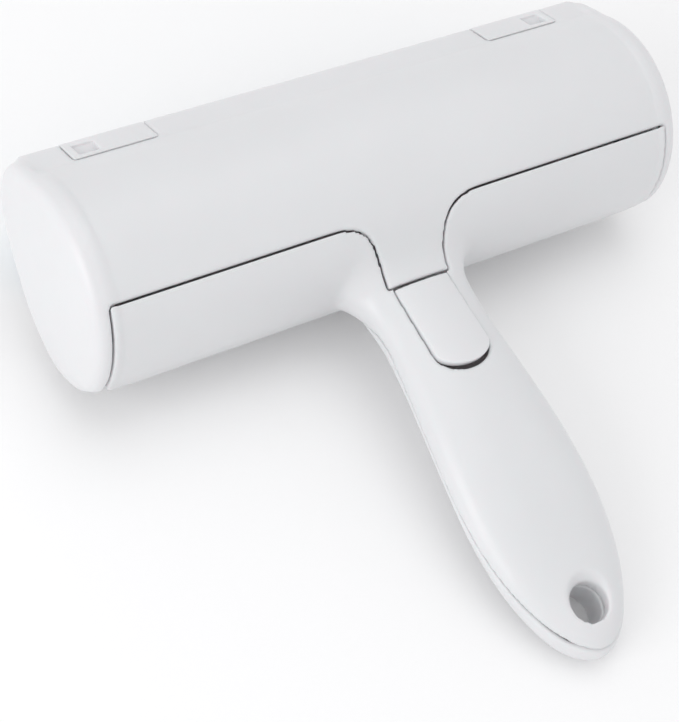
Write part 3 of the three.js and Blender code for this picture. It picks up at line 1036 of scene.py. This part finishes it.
# ------------------------------------------------------------------ housing
class HousingShells:
    """The base shell with the back of the handle, and the front of the handle."""

    parting_gap = 0.2
    base_grain = 0.55
    front_grain = 0.5
    soft_rounds = 8
    skin = 0.02
    handle_from = -5.0
    handle_top = (-5.0, -8.3)
    handle_end = -160.0
    front_from = (-32.7, -40.0)
    sleeve_low = -10.0
    sleeve_high = 14.0
    bead = (1.0, 79.0, -27.5)
    corner_radius = 9.0
    corner_run = (-14.0, -38.0)

    def __init__(self, bench: Bench, form: OuterForm, finishes: Finishes) -> None:
        """Build and dress both shells.

        Args:
            bench: The modelling moves.
            form: The common outer form.
            finishes: The materials.
        """
        self.bench = bench
        self.form = form
        self.hollow = form.handle.solid(HANDLE.hollow_from, HANDLE.hollow_to, HEAD.wall)
        base = self.base()
        dress(base, finishes.shell, "shell_plastic", Body.HOUSING, "base_shell")
        front = self.front()
        dress(front, finishes.shell, "shell_plastic", Body.HOUSING, "handle_front")
        bpy.data.objects.remove(self.hollow)

    @staticmethod
    def parting(shift: float) -> list[tuple[float, float]]:
        """Parting line of the two handle shells in YZ, moved up and towards the head."""
        return [(y + shift, z + shift) for y, z in HANDLE.parting]

    @staticmethod
    def neck_line(point: Vector) -> float:
        """Weight of the slanted parting line on the front of the neck."""
        along = ease(point.y, -50, -46) * (1 - ease(point.y, -31, -30))
        return along * (1 - ease(point.z, 5.4, 6.0)) * ease(abs(point.x) - point.z, 8, 10)

    @staticmethod
    def hole_rim(point: Vector) -> float:
        """Weight of the flared rim of the hanging hole."""
        out = math.hypot(point.x, point.y - HANDLE.hole_y)
        return ease(out, HANDLE.hole_radius, HANDLE.hole_radius + 1) * (1 - ease(out, 11, 13))

    def sleeve(self, low: float, high: float) -> bpy.types.Object:
        """The tube around the hanging hole, trimmed to the handle's outside.

        Args:
            low: Its bottom.
            high: Its top.

        Returns:
            The new solid.
        """
        tube = self.bench.cone(HANDLE.sleeve_radius, HANDLE.sleeve_radius, low, high, 0, HANDLE.hole_y)
        self.bench.work(tube, Blend.KEEP, self.form.blank())
        return tube

    def drill(self, piece: bpy.types.Object, mouth: float, flare: float) -> None:
        """Cut the hanging hole and its flared rim.

        Args:
            piece: The shell.
            mouth: Where the flare starts, in Z.
            flare: How far it runs, signed.
        """
        r = HANDLE.hole_radius
        y = HANDLE.hole_y
        self.bench.work(piece, Blend.CUT, self.bench.cone(r, r, -20, 30, 0, y))
        if flare > 0:
            rim = self.bench.cone(r, r + flare, mouth, mouth + flare, 0, y)
        else:
            rim = self.bench.cone(r - flare, r, mouth + flare, mouth, 0, y)
        self.bench.work(piece, Blend.CUT, rim)

    def base(self) -> bpy.types.Object:
        """Build the base shell.

        Returns:
            The finished shell.
        """
        b = self.bench
        above = [*self.parting(self.parting_gap / 2), self.handle_top]
        above += [(self.handle_from, BEYOND), (self.handle_end, BEYOND)]
        back = self.form.blank()
        b.work(back, Blend.KEEP, b.prism(above, -BEYOND, BEYOND, Along.X))
        b.work(back, Blend.CUT, b.copy(self.hollow))
        b.work(back, Blend.JOIN, self.sleeve(above[0][1], self.sleeve_high))
        body = self.form.blank()
        side = b.block((-HEAD.half, -BEYOND, HEAD.rim_z), (HEAD.half, self.handle_from, BEYOND))
        around = b.rod(HEAD.radius + self.skin, -100, 100, sides=self.form.sides)
        b.work(body, Blend.KEEP, around)
        b.work(body, Blend.JOIN, self.form.collars(HEAD.half))
        b.work(body, Blend.KEEP, side)
        b.work(body, Blend.JOIN, back)
        b.work(body, Blend.CUT, self.form.chamber())
        radius, half, y = self.bead
        b.work(body, Blend.JOIN, b.rod(radius, -half, half, y, HEAD.rim_z, 32))
        b.work(body, Blend.CUT, b.prism(lid_plan(HEAD.seam_gap), HEAD.cut_z, BEYOND, Along.Z))
        opening = button_plan(BUTTON.side_gap, BUTTON.tail_gap)
        b.work(body, Blend.CUT, b.prism(opening, HEAD.cut_z, BEYOND, Along.Z))
        throat_low = (-BUTTON.half, BUTTON.top_y - 0.5, HEAD.cut_z)
        throat_high = (BUTTON.half, HEAD.tongue_end + 0.3, BEYOND)
        b.work(body, Blend.CUT, b.block(throat_low, throat_high))
        self.drill(body, HANDLE.hole_back, HANDLE.rim_flare)
        for side in (-1, 1):
            b.work(body, Blend.CUT, self.corner(side))
        return self.finished(body, self.base_grain, "base_shell_fine")

    def finished(self, body: bpy.types.Object, grain: float, name: str) -> bpy.types.Object:
        """Even out a shell, soften its parting line and hole, and settle it.

        Args:
            body: The shell.
            grain: Size of its skin's faces in millimetres.
            name: Its name.

        Returns:
            The finished shell.
        """
        self.bench.even_out(body, grain, 3)
        self.bench.soften(body, self.neck_line, self.soft_rounds)
        self.bench.soften(body, self.hole_rim, self.soft_rounds)
        return self.bench.settle(body, name)

    def corner(self, side: int) -> bpy.types.Object:
        """The piece that rounds the lower end corner of the base shell.

        Args:
            side: -1 for the left corner and 1 for the right one.

        Returns:
            The new solid.
        """
        r = self.corner_radius
        cx = HEAD.half - r
        cz = HEAD.rim_z - 1 + r
        past, under = HEAD.half + 6, cz - r - 8
        turns = np.linspace(-math.pi / 2, 0, 20)
        outline = [(side * (cx + r * math.cos(a)), cz + r * math.sin(a)) for a in turns]
        outline += [(side * past, cz), (side * past, under), (side * cx, under)]
        return self.bench.loft([[Vector((u, y, v)) for u, v in outline] for y in self.corner_run])

    def front(self) -> bpy.types.Object:
        """Build the front of the handle.

        Returns:
            The finished shell.
        """
        b = self.bench
        below = [*self.parting(-self.parting_gap / 2), self.front_from]
        below.append((self.handle_end, self.front_from[1]))
        body = self.form.blank()
        b.work(body, Blend.KEEP, b.prism(below, -BEYOND, BEYOND, Along.X))
        b.work(body, Blend.CUT, b.copy(self.hollow))
        b.work(body, Blend.JOIN, self.sleeve(self.sleeve_low, below[0][1]))
        self.drill(body, HANDLE.hole_front, -HANDLE.rim_flare)
        return self.finished(body, self.front_grain, "handle_front_fine")


# ------------------------------------------------------------------ lid
class Lid:
    """The hinged lid: barrel, flat band, tongue and two domed cheeks."""

    cheek_edge = (
        (20.3, 21.45), (25.4, 17.9), (29.2, 14.6), (30.8, 9.3), (29.7, 4.0), (26.4, -0.6),
        (20.2, -4.8), (12.8, -9.0), (6.6, -12.1), (0.0, -14.6), (-9.0, -16.2), (-17.0, -15.9),
        (-22.4, -13.1), (-26.2, -9.4), (-28.3, -5.4),
    )
    cheek_centre = (1.5, 2.0)
    dome_stops = (0, 0.2, 0.38, 0.52, 0.64, 0.74, 0.82, 0.88, 0.925, 0.96, 0.98, 0.993, 1.0)
    dome_shape = (0.65, 3.7, 2.8)
    inner_size = 0.925
    inner_sink = 2.0
    low_z = 4.0
    far_y = 22.6
    neck_room = ((-60.0, -60.0, -40.0), (60.0, -10.0, 8.5))
    band_inside = ((29.5, 12.5), (21.8, 17.5))
    band_laps = (44.0, 43.0, 46.0)
    grain = 0.63

    def __init__(self, bench: Bench, form: OuterForm, finishes: Finishes) -> None:
        """Build and dress the lid.

        Args:
            bench: The modelling moves.
            form: The common outer form.
            finishes: The materials.
        """
        self.bench = bench
        self.form = form
        shell = self.shell()
        dress(shell, finishes.shell, "shell_plastic", Body.LID, "lid_shell")
        # The lid's inner wall gets the pinkish-grey painted shade of the chamber.
        bench.line(shell, finishes.lining, HEAD.radius - HEAD.wall + HEAD.painted_shade_reach)

    def cheek_ring(self, x: float, scale: float) -> list[Vector]:
        """Ring of a cheek at one place along the drum.

        Args:
            x: The place.
            scale: Its size about the cheek's centre.

        Returns:
            The ring's points.
        """
        edge = np.array(self.cheek_edge)
        steps = np.concatenate([[0], np.cumsum(np.hypot(*np.diff(edge, axis=0).T))])
        fine = np.linspace(0, steps[-1], 90)
        rounded = np.stack([self.easy(steps, edge[:, k], fine) for k in (0, 1)], 1)
        outline = [tuple(p) for p in rounded] + arc(HEAD.radius, 187, 50, 68)
        cy, cz = self.cheek_centre
        return [Vector((x, cy + (y - cy) * scale, cz + (z - cz) * scale)) for y, z in outline]

    @staticmethod
    def easy(at: np.ndarray, values: np.ndarray, where: np.ndarray) -> np.ndarray:
        """Smooth curve through values, by cubic pieces with averaged slopes.

        Args:
            at: Where the values are.
            values: The values.
            where: Where the curve is read.

        Returns:
            The curve's values.
        """
        slopes = np.gradient(values, at)
        i = np.clip(np.searchsorted(at, where) - 1, 0, len(at) - 2)
        span = at[i + 1] - at[i]
        t = (where - at[i]) / span
        h = t * t * (3 - 2 * t)
        bend = (t - 2 * t**2 + t**3) * slopes[i] + (t**3 - t**2) * slopes[i + 1]
        return values[i] * (1 - h) + values[i + 1] * h + bend * span

    def dome(self, side: int, start: float, bulge: float, size: float) -> bpy.types.Object:
        """A domed cheek solid.

        Args:
            side: -1 for the left cheek and 1 for the right one.
            start: Where it starts along the drum.
            bulge: How far it stands out.
            size: Its size against the cheek's outline.

        Returns:
            The new solid.
        """
        rings = []
        depth, rise, fall = self.dome_shape
        for t in self.dome_stops:
            inward = depth * (1 - (1 - t**rise) ** (1 / fall))
            rings.append(self.cheek_ring(side * (start + t * bulge), (1 - inward) * size))
        return self.bench.loft(rings)

    def barrel(self) -> bpy.types.Object:
        """The barrel part with its tongue and its flat band along the hinge side.

        Returns:
            The new solid.
        """
        b = self.bench
        body = self.form.blank()
        reach = self.form.reach
        b.work(body, Blend.JOIN, self.form.collars(reach))
        b.work(body, Blend.KEEP, b.prism(lid_plan(0.0), self.low_z, BEYOND, Along.Z))
        far_low = (-BEYOND_ENDS, self.far_y, -40)
        b.work(body, Blend.CUT, b.block(far_low, (BEYOND_ENDS, BEYOND, BEYOND)))
        b.work(body, Blend.CUT, b.block(*self.neck_room))
        lining = self.form.handle.solid(-10.0, -60.0, HEAD.wall)
        b.work(body, Blend.CUT, self.form.chamber(), lining)
        outer_lap, inner_from, inner_to = self.band_laps
        band = [*arc(HEAD.radius, outer_lap, HEAD.band_angle, 6), *HEAD.band_edge]
        band += [*self.band_inside, *arc(HEAD.radius - HEAD.wall, inner_from, inner_to, 3)]
        b.work(body, Blend.JOIN, b.prism(band, -reach, reach, Along.X))
        return body

    def shell(self) -> bpy.types.Object:
        """Build the lid.

        Returns:
            The finished lid.
        """
        b = self.bench
        body = self.barrel()
        for side in (-1, 1):
            x0, x1 = sorted((side * (HINGE.inner - HINGE.gap), side * (HINGE.outer + HINGE.gap)))
            b.work(body, Blend.CUT, b.block((x0, HINGE.notch_y, 0), (x1, 40, 40)))
            start = HEAD.half + HEAD.gap
            cheek = self.dome(side, start, HEAD.bulge - HEAD.gap - 0.02, 1.0)
            inner = self.dome(side, HEAD.half - self.inner_sink, HEAD.bulge, self.inner_size)
            b.work(cheek, Blend.CUT, inner)
            b.work(body, Blend.JOIN, cheek)
        b.even_out(body, self.grain, 3)
        return b.settle(body, "lid_shell_fine")


# ------------------------------------------------------------------ button
class ReleaseButton:
    """The rising release button on the back of the handle."""

    def __init__(self, bench: Bench, form: OuterForm, finishes: Finishes) -> None:
        """Build and dress the button.

        Args:
            bench: The modelling moves.
            form: The common outer form; not used.
            finishes: The materials.
        """
        self.bench = bench
        self.form = form
        dress(self.cap(), finishes.shell, "shell_plastic", Body.BUTTON, "button_cap")

    def ramp(self, half: float, lift: float, grow: float) -> bpy.types.Object:
        """A crowned ramp that rises towards the tail.

        Args:
            half: Its half width.
            lift: How far it is raised.
            grow: How far it runs past both ends.

        Returns:
            The new solid.
        """
        rings = []
        foot = BUTTON.slope_foot
        power = 2 / BUTTON.slope_power
        (y0, z0), (y1, z1) = BUTTON.slope
        for y, z in ((y0 + grow, z0 + lift), (y1 - grow, z1 + lift)):
            ring = []
            for turn in np.linspace(0, 2 * math.pi, 120, endpoint=False):
                c, s = math.cos(turn), math.sin(turn)
                x = half * math.copysign(abs(c) ** power, c)
                rise = (z - foot) / 2 * math.copysign(abs(s) ** power, s)
                ring.append(Vector((x, y, (z + foot) / 2 + rise)))
            rings.append(ring)
        return self.bench.loft(rings)

    def cap(self) -> bpy.types.Object:
        """Build the button.

        Returns:
            The finished button.
        """
        b = self.bench
        body = b.prism(button_plan(0.0), 6.0, 30.0, Along.Z)
        b.work(body, Blend.KEEP, self.ramp(BUTTON.slope_half, -BUTTON.slope_drop, 0.0))
        inside = self.ramp(BUTTON.slope_inner_half, -BUTTON.thickness, 1.0)
        b.work(body, Blend.CUT, inside)
        b.even_out(body, 0.25, 6)
        return b.settle(body, "button_cap_fine")


# ------------------------------------------------------------------ drum fabric
@dataclass(frozen=True)
class FabricStrip:
    """One strip of pick-up fabric, curved over the drum; angles in degrees from the slots."""

    side: int
    start: float = 11.4
    end: float = 35.2
    half: float = 82.65
    top: float = 25.6
    thickness: float = 1.2
    corner: float = 1.6
    pitch: float = 1.5
    column: float = 6.0
    relief: float = 0.14
    cross_lean: float = 0.31
    cross_pitch: float = 0.62
    cross_share: float = 0.45
    roll: float = 1.1
    roll_depth: float = 0.75
    columns: int = 560
    rows: int = 40

    def height(self, x: float, s: float) -> float:
        """Height of the weave's tufts, from 0 to 1.

        Args:
            x: Place along the strip.
            s: Place across the strip.

        Returns:
            The height.
        """
        zigzag = abs((x / self.column) % 2 - 1) * self.column
        ridge = 0.5 + 0.5 * math.cos(2 * math.pi * (zigzag + s) / self.pitch)
        lean = (x * self.cross_lean - s) / (self.pitch * self.cross_pitch)
        cross = 0.5 + 0.5 * math.cos(2 * math.pi * lean)
        return ridge * (1 - self.cross_share + self.cross_share * cross)

    def edge_drop(self, x: float, s: float, width: float) -> float:
        """How far the cloth rolls down at its edges and corners.

        Args:
            x: Place along the strip.
            s: Place across the strip.
            width: The strip's width over the pile.

        Returns:
            The drop, in millimetres.
        """
        qx = abs(x) - (self.half - self.corner)
        qs = abs(s) - (width / 2 - self.corner)
        if qx > 0 and qs > 0:
            inside = self.corner - math.hypot(qx, qs)
        else:
            inside = self.corner - max(qx, qs)
        t = min(1.0, max(0.0, inside / self.roll))
        return self.roll_depth * (1 - math.sqrt(max(0.0, 1 - (1 - t) ** 2)))

    def build(self, bench: Bench) -> bpy.types.Object:
        """Model the strip as a fine grid laid over the drum, with its weave in relief.

        Args:
            bench: The modelling moves.

        Returns:
            The finished strip.
        """
        bench.clear()
        bpy.ops.mesh.primitive_grid_add(
            x_subdivisions=self.columns, y_subdivisions=self.rows, size=2.0
        )
        piece = bpy.context.object
        width = math.radians(self.end - self.start) * self.top
        middle = math.radians(270 + HEAD.work_turn + self.side * (self.start + self.end) / 2)
        tufts = []
        for vertex in piece.data.vertices:
            x = vertex.co.x * self.half
            s = vertex.co.y * width / 2
            tuft = self.height(x, s)
            tufts.append(tuft)
            radius = self.top - self.relief * (1 - tuft) - self.edge_drop(x, s, width)
            a = middle + s / self.top
            vertex.co = Vector((x, radius * math.cos(a), radius * math.sin(a)))
        store = piece.data.attributes.new("tuft", "FLOAT", "POINT")
        store.data.foreach_set("value", tufts)
        bench.apply(piece, "SOLIDIFY", thickness=self.thickness, offset=1.0)
        bench.outward(piece)
        return bench.settle(piece, "fabric_near_cloth" if self.side < 0 else "fabric_far_cloth")


class Drum:
    """The tipping drum: its shell, its end caps and its two fabric strips."""

    # Faces of the drum shell nearer the axis than this get the pinkish-grey painted shade seen through
    # the slots.
    painted_shade_radius = 22.9

    def __init__(self, bench: Bench, finishes: Finishes) -> None:
        """Build and dress the drum.

        Args:
            bench: The modelling moves.
            finishes: The materials.
        """
        shell = bench.refine("drum_shell", 0.62, 4)
        dress(shell, finishes.shell, "shell_plastic", Body.DRUM, "drum_shell")
        # The drum's inner wall gets the pinkish-grey painted shade of the chamber.
        bench.line(shell, finishes.lining, self.painted_shade_radius)
        for tag in ("left", "right"):
            node = f"drum_cap_{tag}"
            cap = bench.refine(node, 0.5, 4)
            dress(cap, finishes.inner, "inner_plastic", Body.DRUM, node)
        for side, node, finish in (
            (-1, "fabric_near", finishes.near_pile_shaded),
            (1, "fabric_far", finishes.far_pile_lit),
        ):
            strip = FabricStrip(side)
            cloth = strip.build(bench)
            dress(cloth, finish, "pick_up_fabric", Body.DRUM, node)


# ------------------------------------------------------------------ small parts
class SmallParts:
    """Rail, comb, walls, hinges and the button's works, refined from the frame's own nodes."""

    def __init__(self, bench: Bench, finishes: Finishes) -> None:
        """Build and dress every small part.

        Args:
            bench: The modelling moves.
            finishes: The materials.
        """
        self.bench = bench
        shell = (finishes.shell, "shell_plastic")
        inner = (finishes.inner, "inner_plastic")
        bearing = (finishes.bearing, "bearing_plastic")
        # The button well, the catch and the lever take the pinkish-grey painted shade of the gaps round
        # the button.
        painted_shade = (finishes.lining, "inner_plastic")
        self.refined("hinge_rail", 0.5, 4, shell, Body.HOUSING)
        self.refined("rim_comb", 0.24, 3, shell, Body.HOUSING)
        self.refined("button_well", 0.25, 3, painted_shade, Body.HOUSING)
        self.refined("lid_catch", 0.16, 3, painted_shade, Body.LID)
        self.refined("button_lever", 0.2, 3, painted_shade, Body.BUTTON)
        for side, tag in ((-1, "left"), (1, "right")):
            self.refined(f"end_wall_{tag}", 0.45, 4, shell, Body.HOUSING)
            self.refined(f"hinge_bracket_{tag}", 0.2, 3, inner, Body.HOUSING)
            self.refined(f"axle_bushing_{tag}", 0.25, 3, bearing, Body.HOUSING)
            self.hinge_block(side, f"hinge_block_{tag}", finishes.shell)
        self.steel(finishes.steel)

    def refined(
        self, node: str, grain: float, rounds: int, finish: tuple[bpy.types.Material, str], body: Body
    ) -> None:
        """Refine one frame node and dress the result.

        Args:
            node: The frame node.
            grain: Size of the skin's faces.
            rounds: How many times the skin is smoothed.
            finish: Material and slot.
            body: The body that it rides on.
        """
        piece = self.bench.refine(node, grain, rounds)
        dress(piece, finish[0], finish[1], body, node)

    def hinge_block(self, side: int, node: str, finish: bpy.types.Material) -> None:
        """Refine one hinge block and close its window with a sunken floor.

        Args:
            side: -1 for the left block and 1 for the right one.
            node: The frame node.
            finish: The shell's plastic.
        """
        low, high = HINGE.window_low, HINGE.window_high
        x0, x1 = sorted((side * low[0], side * high[0]))
        floor = self.bench.block((x0, *low[1:]), (x1, *high[1:]))
        piece = self.bench.refine(node, 0.25, 3, floor)
        dress(piece, finish, "shell_plastic", Body.LID, node)

    def steel(self, finish: bpy.types.Material) -> None:
        """Make the round pins and the coil spring.

        Args:
            finish: The steel.
        """
        for side, tag in ((-1, "left"), (1, "right")):
            x0, x1 = sorted((side * HINGE.pin_from, side * HINGE.pin_to))
            pin = self.pin(HINGE.pin_radius, x0, x1, HINGE.y, HINGE.z, f"hinge_pin_{tag}_turned")
            dress(pin, finish, "steel", Body.HOUSING, f"hinge_pin_{tag}")
        half, y, z = BUTTON.pin_half, BUTTON.pin_y, BUTTON.pin_z
        pin = self.pin(BUTTON.pin_radius, -half, half, y, z, "button_pin_turned")
        dress(pin, finish, "steel", Body.HOUSING, "button_pin")
        spring = self.spring()
        dress(spring, finish, "steel", Body.HOUSING, "button_spring")
        low = self.bench.point(0, SPRING.y, SPRING.low)
        self.bench.direction(0, 0, 1)
        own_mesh(spring)

    def pin(
        self, radius: float, x0: float, x1: float, y: float, z: float, name: str
    ) -> bpy.types.Object:
        """A round pin with chamfered ends.

        Args:
            radius: Its radius.
            x0: Its left end.
            x1: Its right end.
            y: Its axis in Y.
            z: Its axis in Z.
            name: Its name.

        Returns:
            The finished pin.
        """
        b = self.bench
        piece = b.rod(radius, x0, x1, y, z, 48)
        b.apply(piece, "BEVEL", width=0.25, segments=3, limit_method="ANGLE", angle_limit=1.0)
        b.settle(piece, name)
        bpy.ops.object.shade_smooth_by_angle(angle=math.radians(35))
        return piece

    def spring(self) -> bpy.types.Object:
        """The small coil spring under the button's tail.

        Returns:
            The finished spring.
        """
        k = SPRING
        rings = []
        steps = int(k.turns * k.turn_steps)
        slope = math.atan2((k.high - k.low) / k.turns, 2 * math.pi * k.radius)
        for i in range(steps + 1):
            a = 2 * math.pi * k.turns * i / steps
            x, y = k.radius * math.cos(a), k.y + k.radius * math.sin(a)
            centre = Vector((x, y, k.low + (k.high - k.low) * i / steps))
            out = Vector((math.cos(a), math.sin(a), 0))
            along = Vector((-math.sin(a), math.cos(a), 0)) * math.cos(slope)
            along.z = math.sin(slope)
            up = out.cross(along)
            around = np.linspace(0, 2 * math.pi, k.wire_sides, endpoint=False)
            ring = [centre + k.wire * (out * math.cos(t) + up * math.sin(t)) for t in around]
            rings.append(ring)
        return self.bench.settle(self.bench.loft(rings), "button_spring_coil")


# ------------------------------------------------------------------ studio
@dataclass(frozen=True)
class StudioLight:
    """A soft square light that looks at the head."""

    name: str
    place: tuple[float, float, float]
    size: float
    power: float

    def build(self, target: Vector) -> None:
        """Hang the light and aim it.

        Args:
            target: The point that it looks at.
        """
        data = bpy.data.lights.new(self.name, "AREA")
        data.energy = self.power
        data.size = self.size
        lamp = bpy.data.objects.new(self.name, data)
        bpy.context.scene.collection.objects.link(lamp)
        lamp.location = self.place
        aim = target - Vector(self.place)
        lamp.rotation_euler = aim.to_track_quat("-Z", "Y").to_euler()


class Studio:
    """Pale floor, soft lights and the camera."""

    lights = (
        StudioLight("key_left", (-0.95, -0.1, 0.45), 0.6, 3.0),
        StudioLight("soft_top", (0.1, 0.35, 1.2), 0.9, 1.8),
    )
    sky = (0.99, 0.99, 1.0)
    sky_strength = 0.84
    floor_size = 6.0
    lens = 107.667
    eye = (-272.5, -174.9, 453.0)
    eye_right = (0.83325, -0.44904, 0.32259)
    eye_up = (0.30319, 0.85900, 0.41255)
    eye_back = (-0.46235, -0.24595, 0.85190)

    def __init__(self, bench: Bench, finishes: Finishes) -> None:
        """Set the floor, the light and the camera.

        Args:
            bench: The modelling moves, which know the head frame.
            finishes: The materials.
        """
        bench.clear()
        bpy.ops.mesh.primitive_plane_add(size=self.floor_size)
        floor = bpy.context.object
        floor.name = "studio_floor"
        floor.data.materials.append(finishes.paper)
        bpy.context.scene.view_settings.view_transform = "Standard"
        target = bench.point(0, -20, 0)
        for light in self.lights:
            light.build(target)
        self.world()
        self.camera(bench)

    def world(self) -> None:
        """An even pale sky."""
        world = bpy.data.worlds.new("studio_sky")
        world.use_nodes = True
        sky = world.node_tree.nodes["Background"]
        sky.inputs["Color"].default_value = (*self.sky, 1.0)
        sky.inputs["Strength"].default_value = self.sky_strength
        bpy.context.scene.world = world

    def camera(self, bench: Bench) -> None:
        """Place the camera above and to the left of the handle.

        Args:
            bench: The modelling moves, which know the head frame.
        """
        data = bpy.data.cameras.new("studio_camera")
        data.sensor_fit = "HORIZONTAL"
        data.sensor_width = 36.0
        data.lens = self.lens
        data.clip_start = 0.01
        camera = bpy.data.objects.new("studio_camera", data)
        bpy.context.scene.collection.objects.link(camera)
        axes = [bench.direction(*axis) for axis in (self.eye_right, self.eye_up, self.eye_back)]
        turn = Matrix(axes).transposed().to_4x4()
        camera.matrix_world = Matrix.Translation(bench.point(*self.eye)) @ turn
        bpy.context.scene.camera = camera


def main() -> None:
    """Build the studio, then the roller piece by piece."""
    logging.basicConfig(level=logging.INFO, format="%(name)s: %(message)s")
    bench = Bench(frame["record"])
    finishes = Finishes()
    Studio(bench, finishes)
    form = OuterForm(bench)
    HousingShells(bench, form, finishes)
    Lid(bench, form, finishes)
    ReleaseButton(bench, form, finishes)
    form.drop()
    Drum(bench, finishes)
    SmallParts(bench, finishes)


if __name__ == "__main__":
    main()
